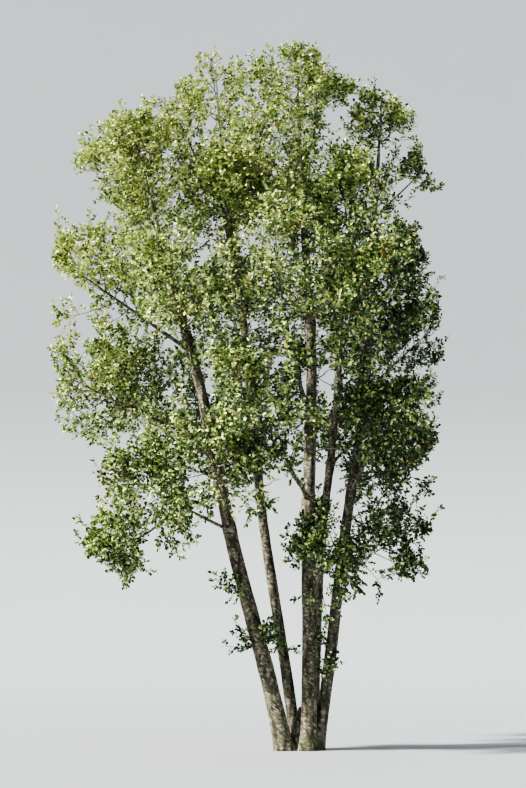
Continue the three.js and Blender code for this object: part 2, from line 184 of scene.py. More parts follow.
# Lobes of a mass: how many, how far they lean up, their reach in hollows and at tips, as shares of
# the spread, and how near to a lobe's middle the hollow ends and the tip begins
LOBES = 13
LOBE_LIFT = 0.3
LOBE_REACH = (0.72, 1.12)
LOBE_WIDTH = (0.70, 0.98)

# How much taller than wide a mass is, from the left of the crown to the right, and below what height
TALLNESS = (1.15, 1.45)
TALL_SIDES = (-2.0, 1.0)
TALL_BELOW = 11.5

# Clumps of twigs: their size, and the noise that a twig needs to be kept, from lower down to higher up.
# On the right it needs more below the last height, where the crown is open, and less above it.
CLUMP_SIZE = np.array((0.75, 1.4, 0.75))
CLUMP_HEIGHTS = (7.0, 11.0)
CLUMP_LEAST = (-0.14, -0.07)
OPEN_SIDES = (0.8, 2.2)
OPENING = 0.1
CLOSING = 0.16
OPEN_BELOW = 10.5

# Shoots: how far they bend, how far they droop lower down, and the heights between which that ends
CROOK = 0.09
DROOP = 0.22
DROOP_HEIGHTS = (3.0, 8.0)

# The crown's top from left to right, how far it falls for each metre to the front, how far its ragged
# sides lie inside the solids' box, how deep they are cut and how large the cuts are
DOME_SIDES = (-2.6, -2.2, 0.6, 1.0, 2.0, 2.6)
DOME_TOPS = (13.65, 14.9, 14.9, 14.15, 14.05, 13.4)
DOME_FALL = 0.55
EDGE_INSET = 0.13
EDGE_DEPTH = 0.6
EDGE_SIZE = 0.55

# Orders of shoots: the stretch of the parent that bears them, their angles off it in degrees and
# their reach from its foot to its tip, their radius, and how far they turn up from the start and
# further on. A lateral's reach is for each metre of its mass's spread.
LATERALS = dict(angles=(82, 34), reach=(1.05, 0.6), girth=0.011, lift=(0.12, 0.1))
TWIGS = dict(span=(0.22, 1.0), angles=(60, 36), reach=(0.55, 0.30), girth=0.0048, lift=(0.22, 0.12))
TWIGLETS = dict(span=(0.2, 0.9), angles=(56, 40), reach=(0.22, 0.15), girth=0.0028, lift=(0.2, 0.05))
LATERALS_FROM = 0.62  # the first lateral stands this share of the spread before the mass's middle
LATERALS_TO = 0.96  # and the last one at this share of the leader
LEAST_BARE = 0.05  # metres at the foot of every leader that bear nothing
LEADER_REACH = 0.9  # share of its room that a leader takes
MEAN_SPREAD = 1.25  # a mass of this spread has as many laterals as the settings say
PLACE_SCATTER = 0.3  # of the step between two shoots
ANGLE_SCATTER = 6  # degrees
LENGTH_SCATTER = 0.25  # of a shoot's reach
SHOOT_REACH = 0.96  # share of its room that a shoot takes at most
SHOOT_LEAST = 0.35  # a shoot with less room than this share of its reach is left out
WOOD_GAP = 0.02  # so is one with its tip nearer than this to a limb's bark
CUTS = np.linspace(0.3, 1, 15)  # shares at which a shoot is cut where it leaves the crown
BARE_END = 0.03  # a bearer goes on past its last shoot by this share of its length
BEARER_LEAST = 0.1  # share of its length that a bearer keeps at least
LEAST_BORNE = 2  # a lateral with fewer twigs is left out
FREE = -1  # in place of a mass's number, for a shoot that may grow out of its mass's space
OPEN_ROOM = 9.0

# Young shoots at the ends of laterals: the greatest fall of a lateral that has one, where it stands,
# the weights of the lateral's heading, of up and of chance in its own, and its length and lift
SPIRE_SLANT = -0.1
SPIRE_PLACE = 0.93
SPIRE_AHEAD = 0.6
SPIRE_UP = 0.8
SPIRE_SCATTER = 0.15
SPIRE_LENGTHS = (0.3, 0.62)
SPIRE_LIFT = 0.15
YOUNG_GIRTH = 0.005

# Tufts of young shoots on the stems: stem, height, heading and number of shoots
SPRIGS = (
    ("left", 2.10, 300, 7),
    ("left", 1.90, 205, 5),
    ("left", 2.95, 215, 6),
    ("mid_left", 1.98, 250, 5),
    ("centre", 1.55, 330, 5),
    ("right", 2.00, 200, 4),
)
SPRIG_SPREAD = 0.08  # metres up and down
SPRIG_FAN = 28  # degrees to either side
SPRIG_RISES = (-5, 50)
SPRIG_LENGTHS = (0.25, 0.6)
SPRIG_LIFT = 0.1
SPRIG_ROOT = 0.8  # share of the stem's radius where a young shoot starts

# Shoots along the stems inside the crown: stem, lowest and highest place, number and greatest length
BRUSH = (
    ("right", 8.4, 11.9, 60, 0.95),
    ("centre", 9.6, 12.4, 34, 0.85),
    ("mid_left", 9.6, 12.6, 34, 0.85),
    ("left", 8.2, 10.6, 24, 0.75),
    ("back", 8.6, 11.4, 24, 0.85),
)
BRUSH_RISES = (10, 55)
BRUSH_SHARES = (0.4, 1)  # of the greatest length
# Shoots along the boughs: how many for each metre, from which share on, their scatter and length
BRUSH_PER_METRE = 8
BRUSH_FROM = 0.4
BRUSH_SCATTER = 0.7
BRUSH_LONGEST = 0.75

# Dead branches: stem, height, heading, rise, length and radius
SNAGS = (
    ("right", 5.90, 182, -8, 0.85, 0.020),
    ("centre", 7.15, 20, 35, 0.42, 0.016),
    ("back", 7.35, 200, 30, 0.40, 0.016),
    ("left", 4.90, 150, 30, 0.45, 0.016),
    ("mid_left", 5.10, 330, 20, 0.40, 0.013),
)
SNAG_ARCH = 0.12
SNAG_SWAY = 0.03
SNAG_TIP_SHARE = 0.45
SNAG_SEED = 60

# A leaf's corners, across as shares of its width, and along and up as shares of its length: its base,
# its tip and two on either side
LEAF_CORNERS = np.array(
    (
        (0.0, 0.0, 0.0), (0.0, 1.0, -0.04),
        (-0.42, 0.30, 0.07), (-0.37, 0.68, 0.04), (0.42, 0.30, 0.07), (0.37, 0.68, 0.04),
    )
)
LEAF_FACES = np.array(((0, 1, 2), (2, 1, 3), (0, 4, 1), (4, 5, 1)))

# Leaves on a shoot: scatter of their places and of their turn round it, how flat a spray is, the end
# leaf's angle off the shoot, the others' angles and lift as mean and scatter, and where they stand
LEAF_SCATTER = 0.25
LEAF_TURN_SCATTER = 0.7
SPRAY_FLATNESS = 0.6
END_LEAF_ANGLE = 0.2
LEAF_ANGLES = (0.95, 0.2)
LEAF_LIFT = (-0.12, 0.22)
ON_TWIG = (0.15, 1.0)
ON_TWIGLET = (0.3, 1.0)

# Each leaf: its size, and the weights of up, out and chance in the way that it faces
LEAF_SIZES = (0.72, 1.18)
FACING_UP = 0.75
FACING_OUT = 0.45
FACING_SCATTER = 0.55
FACING_FROM = np.array((-0.6, 0.2, 7.5))
LEAF_MIDDLE = 0.6  # a leaf is left out if this share of it is nearer to the bark than LEAF_GAP
LEAF_GAP = 0.01
THINNING = 0.18  # share of the leaves left out at the top, from nothing at THIN_FROM
THIN_FROM = 8.5
THIN_OVER = 3

# Tints from dark to light, dealt as painted shade and painted sunlight, then those of few leaves, with
# their roughness
TINTS = ("deep", "green", "olive", "yellow_green", "pale", "silver", "yellow", "rust")
TINT_ROUGHNESS = (0.5, 0.45, 0.42, 0.42, 0.5, 0.55, 0.5, 0.6)
TINT_STEPS = (0.2, 0.5, 0.82)  # shares of the sprays at which the next lighter tint begins
TINT_DRIFT = {-2: 0.14, -1: 0.2, 0: 0.28, 1: 0.2, 2: 0.18}  # chance of each step away from the spray's
# Silver leaves, dealt at random, are pale undersides and painted highlights, glints of the key light.
SILVER_GLINT_SHARE = 0.055  # of all leaves, whatever their spray
YELLOW_ABOVE = 0.994  # a leaf whose draw is higher is yellow
RUST_ABOVE = 0.990  # and one from here up to that is rust-coloured

# How light a spray is painted: painted sunlight outside, to the left, in front and higher up, painted
# shade elsewhere. Weights of its place outside, to the left, in front and higher up, and chance
CROWN_MIDDLE = np.array((-0.7, 0.3, 8.4))
CROWN_RADII = np.array((4.2, 3.8, 6.4))
PAINTED_SUN_OUTSIDE = 0.45
PAINTED_SUN_LEFT = 0.42
PAINTED_SUN_FRONT = 0.3
PAINTED_SUN_HIGH = 0.5
LIGHT_WIDTH = 4
LIGHT_BASE = 8
LIGHT_RISE = 6
LIGHT_SCATTER = 0.18

# The floor: its half width, its near edge, where it starts to curve up, the curve's radius and the top
FLOOR_SIDE = 120.0
FLOOR_NEAR = -60.0
FLOOR_BEND = 35
FLOOR_RADIUS = 20
FLOOR_TOP = 70.0
FLOOR_CLOUDS = 0.97  # how dark its faint clouds are, as a share of its colour
GLOW_HEIGHTS = (-4.0, 10.0)  # the backdrop's glow sets in at the first and is full at the second

# The key light's colour, and its course from the left and the front
KEY_COLOUR = (1.0, 0.98, 0.91)
KEY_COURSE = (0.80, 0.27, -0.57)


def unit(vectors):
    """The same directions at length 1."""
    return vectors / np.maximum(np.linalg.norm(vectors, axis=-1, keepdims=True), 1e-9)


def square_to(axes, vectors):
    """Vectors made square to axes, at length 1."""
    return unit(vectors - axes * np.sum(vectors * axes, axis=-1, keepdims=True))


def upper_of(axes):
    """The upper side of each axis, or the far side of an upright one."""
    upright = np.abs(axes[..., 2:3]) > UPRIGHT
    return square_to(axes, np.where(upright, AWAY, UP))


def turned(axes, towards, angles):
    """Axes turned by angles towards directions that are square to them."""
    return axes * np.cos(angles)[..., None] + towards * np.sin(angles)[..., None]


def direction(heading, rise):
    """The direction of a heading and a rise in degrees."""
    turn, lift = math.radians(heading), math.radians(rise)
    level = math.cos(lift)
    return np.array((math.cos(turn) * level, math.sin(turn) * level, math.sin(lift)))


def first_draw(seed):
    """The source's first draw from 0 to 1 for that seed."""
    state = (seed * 2654435761) % 2**32
    return ((state * 1664525 + 1013904223) % 2**32) / 2**32


def noise_at(points):
    """Soft noise from about -1 to 1 at each point."""
    return np.array([noise.noise(Vector(point)) for point in points])


def share_of(ends, values):
    """How far each value lies from the first end to the last, from 0 to 1."""
    return np.clip((values - ends[0]) / (ends[1] - ends[0]), 0, 1)


def between(ends, share):
    """The value at that share of the way from the first end to the last."""
    return ends[0] + (ends[1] - ends[0]) * share


class Limb:
    """A stem or a bough: a middle line that bends once and sways a little, with its girth."""

    def __init__(self, name, start, bend, end, sway, seed, radius, tip_radius, taper=1.0):
        self.name, self.start, self.bend, self.end = name, start, bend, end
        self.sway, self.phase = sway, first_draw(seed) * 2 * math.pi
        self.radius, self.tip_radius, self.taper = radius, tip_radius, taper

    def at(self, t):
        """Points at shares t of the way along."""
        t = np.asarray(t, float)[..., None]
        points = (1 - t) ** 2 * self.start + 2 * t * (1 - t) * self.bend + t**2 * self.end
        swing = self.sway * np.sin(np.pi * t)
        points[..., 0:1] += swing * np.sin(SWAY_WAVES[0] * np.pi * t + self.phase)
        points[..., 1:2] += swing * np.cos(SWAY_WAVES[1] * np.pi * t + self.phase)
        return points

    def girth(self, t):
        """Radii at shares t of the way along."""
        share = np.maximum(1 - np.asarray(t, float), 0) ** self.taper
        return self.tip_radius + (self.radius - self.tip_radius) * share


@lru_cache
def make_stems():
    """The five stems, by name."""
    stems = {}
    for index, (name, (foot, tip, bow, radius, _)) in enumerate(STEMS.items()):
        start, end = np.array((*foot, 0.0)), np.array(tip)
        bend = (start + end) / 2 + np.array((*bow, 0.0))
        girths = radius * FOOT_GIRTH, STEM_TIP_RADIUS, STEM_TAPER
        stems[name] = Limb(name, start, bend, end, STEM_SWAY, index + 1, *girths)
    return stems


def make_stool():
    """The stump between the stems' feet."""
    foot, top = np.array(STOOL[0]), np.array(STOOL[1])
    return Limb("stool", foot, (foot + top) / 2, top, 0.0, STOOL_SEED, *STOOL[2:])


@lru_cache
def make_limbs():
    """Every limb that leaves a stem, with its mass's middle and spread."""
    limbs = []
    for index, (stem_name, name, place, heading, rise, reach, spread) in enumerate(LIMBS):
        stem = make_stems()[stem_name]
        up_stem = place / stem.end[2]
        start, along = stem.at(up_stem), direction(heading, rise)
        bare = reach - ENTRY * spread
        end = start + along * bare
        bend = (start + end) / 2 + square_to(along, UP) * BOUGH_ARCH * bare
        radius = min(BOUGH_GIRTH * (reach + spread), BOUGH_MOST * stem.girth(up_stem))
        girths = radius, radius * BOUGH_TIP_SHARE
        limb = Limb(
            f"{stem_name}_{name}", start, bend, end, BOUGH_SWAY * bare, BOUGH_SEED + index, *girths
        )
        limb.is_bough, limb.along = bare >= BOUGH_LEAST, along
        limb.middle, limb.spread = start + along * reach, spread
        limbs.append(limb)
    return limbs


def make_boughs():
    """The limbs that are solids of their own."""
    return [limb for limb in make_limbs() if limb.is_bough]


@lru_cache
def make_masses():
    """The masses of leaves as arrays: root, direction, distance to the middle, spread and girth."""
    rows = []
    for name, stem in make_stems().items():
        spread = STEMS[name][4]
        along = unit(stem.end - stem.at(0.98))
        middle = stem.end + along * ENTRY * spread
        rows.append((f"{name}_crown", stem.end, middle, spread, stem.tip_radius))
    for limb in make_limbs():
        root, girth = (limb.end, limb.tip_radius) if limb.is_bough else (limb.start, limb.radius)
        rows.append((limb.name, root, limb.middle, limb.spread, girth))
    names, *values = zip(*rows)
    roots, middles, spreads, girths = (np.array(value) for value in values)
    tall = np.interp(middles[:, 0], TALL_SIDES, TALLNESS)
    tall = np.where(middles[:, 2] < TALL_BELOW, tall, 1)
    return {
        "name": names,
        "root": roots,
        "middle": middles,
        "along": unit(middles - roots),
        "distance": np.linalg.norm(middles - roots, axis=1),
        "spread": spreads,
        "girth": girths,
        "tall": np.stack([np.ones(len(tall)), np.ones(len(tall)), 1 / tall], axis=1),
    }


@lru_cache
def make_lobes():
    """For each mass, the ways in which its sprays reach out furthest."""
    rng = np.random.default_rng(FIRST_SEED + 2)
    return unit(rng.normal(size=(len(make_masses()["name"]), LOBES, 3)) + UP * LOBE_LIFT)


def room_along(cells, starts, alongs):
    """How far each ray runs inside its mass's space: a lobed ball cut off flat halfway to each
    neighbour. A free shoot has open room, and its number picks a mass whose results aren't used."""
    masses = make_masses()
    middles, spreads = masses["middle"], masses["spread"]
    arms = starts - middles[cells]
    tall = masses["tall"][cells]
    a, b = np.sum((alongs * tall) ** 2, axis=1), np.sum(arms * alongs * tall**2, axis=1)

    def run(radii):
        """How far each ray runs before it leaves a ball of that radius round its mass's middle."""
        inside = b**2 - a * (np.sum((arms * tall) ** 2, axis=1) - radii**2)
        return np.where(inside > 0, (np.sqrt(np.maximum(inside, 0)) - b) / a, 0)

    rim = unit(arms + alongs * run(spreads[cells])[:, None])
    nearness = np.einsum("nkj,nj->nk", make_lobes()[cells], rim).max(axis=1)
    room = run(spreads[cells] * between(LOBE_REACH, share_of(LOBE_WIDTH, nearness)))
    room = np.where(cells == FREE, OPEN_ROOM, room)
    ways = middles[None] - middles[:, None]
    apart = np.linalg.norm(ways, axis=2) + np.eye(len(middles))
    walls = (apart**2 + spreads[:, None] ** 2 - spreads[None] ** 2) / (2 * apart) - SPACE_GAP / 2
    facing = ways / apart[..., None]
    for other in range(len(middles)):
        short = walls[cells, other] - np.sum(arms * facing[cells, other], axis=1)
        speed = np.sum(alongs * facing[cells, other], axis=1)
        limit = np.where(speed > 1e-6, short / np.maximum(speed, 1e-6), np.inf)
        limit = np.where(short <= 0, 0, limit)
        room = np.where((cells == other) | (cells == FREE), room, np.minimum(room, limit))
    return np.maximum(room, 0)


class Shoots:
    """Many shoots of one order: each sets off straight and bends steadily."""

    def __init__(self, cells, starts, alongs, lengths, girths, bends, sprays):
        self.cells, self.starts, self.alongs, self.lengths = cells, starts, alongs, lengths
        self.girths, self.bends, self.sprays = girths, bends, sprays

    def at(self, which, t):
        """Points at shares t along the shoots of those numbers."""
        length = self.lengths[which][:, None]
        t = np.asarray(t, float)[:, None]
        return self.starts[which] + length * (self.alongs[which] * t + self.bends[which] * t**2)

    def heading(self, which, t):
        """Directions at shares t along the shoots of those numbers."""
        return unit(self.alongs[which] + self.bends[which] * 2 * np.asarray(t, float)[:, None])

    def all_at(self, t):
        """The point at share t along every shoot."""
        return self.at(np.arange(len(self)), np.full(len(self), t))

    def kept(self, mask):
        """The shoots where mask is true."""
        return Shoots(*(values[mask] for values in vars(self).values()))

    def shorten(self, shares):
        """Cuts each shoot off at that share of its length."""
        self.lengths, self.bends = self.lengths * shares, self.bends * shares[:, None]

    def __len__(self):
        return len(self.lengths)


def together(groups):
    """Several groups of shoots as one."""
    keys = vars(groups[0])
    return Shoots(*(np.concatenate([getattr(group, key) for group in groups]) for key in keys))


def wood_distance(points, chunk=20000):
    """The distance from each point to the bark of the nearest stem or bough."""
    centres, girths = [], []
    for limbs, count in ((make_stems().values(), 90), (make_boughs(), 24)):
        for limb in limbs:
            t = np.linspace(0, 1, count)
            centres.append(limb.at(t))
            girths.append(limb.girth(t))
    centres, girths = np.concatenate(centres), np.concatenate(girths)
    nearest = np.empty(len(points))
    for first in range(0, len(points), chunk):
        part = points[first : first + chunk]
        gaps = np.linalg.norm(part[:, None] - centres[None], axis=2) - girths
        nearest[first : first + chunk] = gaps.min(axis=1)
    return nearest


def branch_off(parents, count, span, angles, reach, girth, lift, rng):
    """Grows shoots on shoots: they turn round each parent by the golden angle, lift to the light,
    and stay within their mass's space and clear of the limbs."""
    which = np.repeat(np.arange(len(parents)), count)
    order = np.tile(np.arange(count), len(parents))
    share = (order + rng.uniform(-PLACE_SCATTER, PLACE_SCATTER, len(which))) / max(count - 1, 1)
    share = np.clip(share, 0, 1)
    t = between(span, share)
    axes = parents.heading(which, t)
    turns = np.repeat(rng.uniform(0, 2 * math.pi, len(parents)), count) + order * GOLDEN_ANGLE
    top = upper_of(axes)
    side = np.cross(axes, top)
    around = top * np.cos(turns)[:, None] + side * np.sin(turns)[:, None]
    slant = np.radians(between(angles, share) + rng.normal(0, ANGLE_SCATTER, len(which)))
    alongs = unit(turned(axes, around, slant) + UP * lift[0])
    starts = parents.at(which, t)
    room = room_along(parents.cells[which], starts, alongs)
    wanted = between(reach, share) * rng.uniform(1 - LENGTH_SCATTER, 1 + LENGTH_SCATTER, len(which))
    lengths = np.minimum(wanted, room * SHOOT_REACH)
    crooks = square_to(alongs, rng.normal(size=(len(which), 3)))
    crooks *= rng.uniform(0.0, CROOK, len(which))[:, None]
    bends = crooks + UP * (lift[1] - DROOP * (1 - share_of(DROOP_HEIGHTS, starts[:, 2])))[:, None]
    girths = np.full(len(which), girth)
    cells, sprays = parents.cells[which], parents.sprays[which]
    shoots = Shoots(cells, starts, alongs, lengths, girths, bends, sprays)
    far = shoots.all_at(1)
    clear = (lengths > SHOOT_LEAST * wanted) & (wood_distance(far) > WOOD_GAP)
    return shoots.kept(clear & within_crown(far))


def within_crown(points):
    """Tells which points lie in the solids' box, its sides made ragged, and below the crown's dome,
    which falls to the front."""
    low, high = (np.array(corner) for corner in SOLID_BOX)
    inset = (EDGE_INSET - EDGE_DEPTH * noise_at(points / EDGE_SIZE))[:, None] * (1, 1, 0)
    dome = np.interp(points[:, 0], DOME_SIDES, DOME_TOPS) + DOME_FALL * np.minimum(points[:, 1], 0)
    return np.all((points > low + inset) & (points < high - inset), axis=1) & (points[:, 2] < dome)


def in_clumps(shoots):
    """Tells which shoots stand in the crown's clumps, between which the sky shows."""
    tips = shoots.all_at(1)
    least = np.interp(tips[:, 2], CLUMP_HEIGHTS, CLUMP_LEAST)
    rightward = np.interp(tips[:, 0], OPEN_SIDES, (0, 1))
    least += rightward * np.where(tips[:, 2] < OPEN_BELOW, OPENING, -CLOSING)
    return noise_at(tips / CLUMP_SIZE) > least


def young_shoots(starts, alongs, lengths, lift):
    """Free shoots that are as thin as the youngest and turn up steadily."""
    count = len(starts)
    cells, girths = np.full(count, FREE), np.full(count, YOUNG_GIRTH)
    return Shoots(cells, starts, alongs, lengths, girths, np.tile(UP * lift, (count, 1)), np.arange(count))


def grow_spires(bearers, rng):
    """A young shoot at each bearer's end, turned up to the light, which makes the crown's edge ragged."""
    axes = bearers.heading(np.arange(len(bearers)), np.ones(len(bearers)))
    rising = axes[:, 2] > SPIRE_SLANT
    starts = bearers.kept(rising).all_at(SPIRE_PLACE)
    alongs = axes[rising] * SPIRE_AHEAD + UP * SPIRE_UP + rng.normal(0, SPIRE_SCATTER, starts.shape)
    spires = young_shoots(starts, unit(alongs), rng.uniform(*SPIRE_LENGTHS, len(starts)), SPIRE_LIFT)
    return spires.kept(within_crown(spires.all_at(1)))


def grow_sprigs(rng):
    """Young shoots that break from the bark: in tufts low on the stems, and along the stems and
    boughs inside the crown."""
    rows = []

    def grow(stem_name, height, heading, rise, length):
        """Adds a shoot on that stem's bark."""
        stem = make_stems()[stem_name]
        t = height / stem.end[2]
        start = stem.at(t) + direction(heading, 0) * stem.girth(t) * SPRIG_ROOT
        rows.append((start, direction(heading, rise), length))

    for stem_name, height, heading, count in SPRIGS:
        for _ in range(count):
            place, turn = height + rng.normal(0, SPRIG_SPREAD), heading + rng.normal(0, SPRIG_FAN)
            grow(stem_name, place, turn, rng.uniform(*SPRIG_RISES), rng.uniform(*SPRIG_LENGTHS))
    for stem_name, lowest, highest, count, longest in BRUSH:
        for place in rng.uniform(lowest, highest, count):
            turn, rise = rng.uniform(0, 360), rng.uniform(*BRUSH_RISES)
            grow(stem_name, place, turn, rise, rng.uniform(*BRUSH_SHARES) * longest)
    for limb in make_boughs():
        count = round(BRUSH_PER_METRE * np.linalg.norm(limb.end - limb.start))
        for t in rng.uniform(BRUSH_FROM, 1, count):
            along = unit(limb.along + rng.normal(0, BRUSH_SCATTER, 3))
            rows.append((limb.at(t), along, rng.uniform(*BRUSH_SHARES) * BRUSH_LONGEST))
    starts, alongs, lengths = (np.array(values) for values in zip(*rows))
    return young_shoots(starts, alongs, lengths, SPRIG_LIFT)


def cut_to_crown(shoots):
    """Cuts shoots off where they leave the crown."""
    inside = [within_crown(shoots.all_at(share)) for share in CUTS]
    last = np.logical_and.accumulate(inside).sum(axis=0) - 1
    shoots.shorten(CUTS[np.maximum(last, 0)])
    return shoots


def without_bare_ends(bearers, borne):
    """Cuts each bearer off just past its last shoot, and drops those that bear too few."""
    count = np.bincount(borne.sprays, minlength=len(bearers))
    gaps = np.linalg.norm(borne.starts - bearers.starts[borne.sprays], axis=1)
    last = np.zeros(len(bearers))
    np.maximum.at(last, borne.sprays, gaps)
    bearers.shorten(np.clip(last / bearers.lengths + BARE_END, BEARER_LEAST, 1))
    good = count >= LEAST_BORNE
    return bearers.kept(good), borne.kept(good[borne.sprays])


@lru_cache
def grow_crown(laterals, twigs, twiglets):
    """The orders of shoots of every mass: leaders, laterals, twigs and twiglets."""
    masses, rng = make_masses(), np.random.default_rng(FIRST_SEED)
    roots, alongs, spreads = masses["root"], masses["along"], masses["spread"]
    cells = np.arange(len(roots))
    reach = masses["distance"] + room_along(cells, masses["middle"], alongs) * LEADER_REACH
    bends = square_to(alongs, rng.normal(size=roots.shape)) * CROOK / 2
    leaders = cut_to_crown(Shoots(cells, roots, alongs, reach, masses["girth"], bends, cells))
    first = np.maximum(masses["distance"] - LATERALS_FROM * spreads, LEAST_BARE) / leaders.lengths
    parts = []
    for cell, spread in enumerate(spreads):
        rule = dict(LATERALS, span=(first[cell], LATERALS_TO))
        rule["reach"] = [share * spread for share in LATERALS["reach"]]
        count = round(laterals * spread / MEAN_SPREAD)
        parts.append(branch_off(leaders.kept(cells == cell), count, rng=rng, **rule))
    side = together(parts)
    side.sprays = np.arange(len(side))
    small = branch_off(side, twigs, rng=rng, **TWIGS)
    side, small = without_bare_ends(side, small.kept(in_clumps(small)))
    small = together([small, grow_spires(side, rng), grow_sprigs(rng)])
    small.sprays = np.arange(len(small))
    return leaders, side, small, branch_off(small, twiglets, rng=rng, **TWIGLETS)


def new_mesh(name, verts, polygons, material, smooth=True):
    """A mesh object from a (n, 3) array of places and a list of (m, k) arrays of corners."""
    mesh = bpy.data.meshes.new(name)
    corners = np.concatenate([p.ravel() for p in polygons])
    totals = np.concatenate([np.full(len(p), p.shape[1]) for p in polygons])
    mesh.vertices.add(len(verts))
    mesh.vertices.foreach_set("co", np.ascontiguousarray(verts, np.float32).ravel())
    mesh.loops.add(len(corners))
    mesh.loops.foreach_set("vertex_index", corners.astype(np.int32))
    mesh.polygons.add(len(totals))
    mesh.polygons.foreach_set("loop_start", (np.cumsum(totals) - totals).astype(np.int32))
    mesh.polygons.foreach_set("loop_total", totals.astype(np.int32))
    mesh.polygons.foreach_set("use_smooth", np.full(len(totals), smooth))
    mesh.update(calc_edges=True)
    if mesh.validate():
        raise RuntimeError(f"{name} has faces that are no good")
    mesh.materials.append(material)
    piece = bpy.data.objects.new(name, mesh)
    bpy.context.scene.collection.objects.link(piece)
    return piece


def turns_of(sides):
    """The angles of a tube's corners round its middle line."""
    return np.arange(sides) * 2 * math.pi / sides


def spokes_of(alongs, rises, sides):
    """Directions (..., sides, 3) to the corners round each axis, from its upper side on."""
    asides, turns = np.cross(alongs, rises), turns_of(sides)
    return rises[..., None, :] * np.cos(turns)[:, None] + asides[..., None, :] * np.sin(turns)[:, None]


def tube_rings(centres, radii, sides, tops):
    """Rings of corners (n, rings, sides, 3) round middle lines (n, rings, 3)."""
    alongs = unit(np.gradient(centres, axis=1))
    rises = square_to(alongs, np.broadcast_to(tops[:, None], alongs.shape))
    return centres[:, :, None] + spokes_of(alongs, rises, sides) * radii[:, :, None, None]


def tube_faces(count, rings, sides):
    """The faces of count closed tubes whose corners follow each other."""
    corner = np.arange(rings * sides).reshape(rings, sides)
    ahead = np.roll(corner, -1, axis=1)
    quads = np.stack([corner[:-1], ahead[:-1], ahead[1:], corner[1:]], axis=-1).reshape(-1, 4)
    caps = np.stack([corner[0][::-1], corner[-1]])
    shifts = np.arange(count)[:, None, None] * rings * sides
    return [(quads[None] + shifts).reshape(-1, 4), (caps[None] + shifts).reshape(-1, sides)]


def shoot_tubes(shoots, rings, sides, tip_share):
    """All shoots of one order as thin tapering tubes."""
    t = np.linspace(0, 1, rings)
    which = np.repeat(np.arange(len(shoots)), rings)
    centres = shoots.at(which, np.tile(t, len(shoots))).reshape(len(shoots), rings, 3)
    radii = shoots.girths[:, None] * (1 - (1 - tip_share) * t)
    corners = tube_rings(centres, radii, sides, upper_of(shoots.alongs))
    return corners.reshape(-1, 3), tube_faces(len(shoots), rings, sides)


def shoot_spikes(shoots, sides):
    """All shoots of one order as thin spikes, each with a flat foot."""
    spokes = spokes_of(shoots.alongs, upper_of(shoots.alongs), sides)
    rims = shoots.all_at(0)[:, None] + spokes * shoots.girths[:, None, None]
    corners = np.concatenate([rims, shoots.all_at(1)[:, None]], axis=1).reshape(-1, 3)
    faces = np.array([(k, (k + 1) % sides, sides) for k in range(sides)] + [tuple(range(sides))[::-1]])
    shifts = np.arange(len(shoots))[:, None, None] * (sides + 1)
    return corners, [(faces[None] + shifts).reshape(-1, sides)]


def joined(parts):
    """Several (corners, faces) as one."""
    verts, faces, shift = [], [], 0
    for corners, polygons in parts:
        verts.append(corners)
        faces += [p + shift for p in polygons]
        shift += len(corners)
    return np.concatenate(verts), faces


def bark_relief(points, outward, radii, height_share, depth):
    """Moves points out or in by the bark's relief: long furrows, plates and soft lumps."""
    furrows = 1 - np.abs(noise_at(points * FURROW_WAVES)) * FURROW_SHARPNESS
    plates = noise_at(points * PLATE_WAVES)
    lumps = noise_at(points * LUMP_WAVES + LUMP_SHIFT)
    relief = PLATE_HEIGHT * plates - FURROW_DEPTH * np.maximum(furrows, 0) ** 3
    out = depth * (1 - RELIEF_FALL * height_share) * relief + radii * LUMP_HEIGHT * lumps
    return points + outward * out[:, None]


def bark_tube(limb, rings, sides, depth, begin=0.0, bulges=(), flare=0.0):
    """A limb's bark: a closed tube with relief, swollen where limbs leave it."""
    t = np.linspace(begin, 1.0, rings)
    centres, radii = limb.at(t), limb.girth(t)
    corners = tube_rings(centres[None], radii[None], sides, np.array([AWAY]))[0]
    if flare:
        swell = np.exp(-np.maximum(t * limb.end[2], 0) / FLARE_HEIGHT)
        lobes = ROOT_LOBE_DEPTH * np.cos(ROOT_LOBES * turns_of(sides))
        grow = 1 + swell[:, None] * (flare + lobes[None])
        corners = centres[:, None] + (corners - centres[:, None]) * grow[..., None]
    outward = unit(corners - centres[:, None]).reshape(-1, 3)
    points = corners.reshape(-1, 3)
    for place, size in bulges:
        near = np.exp(-np.sum((points - place) ** 2, axis=1) / (2 * (BULGE_WIDTH * size) ** 2))
        points = points + outward * (BULGE_HEIGHT * size * near)[:, None]
    height_share = np.repeat(np.clip(t, 0, 1), sides)
    points = bark_relief(points, outward, np.repeat(radii, sides), height_share, depth)
    return points, tube_faces(1, rings, sides)


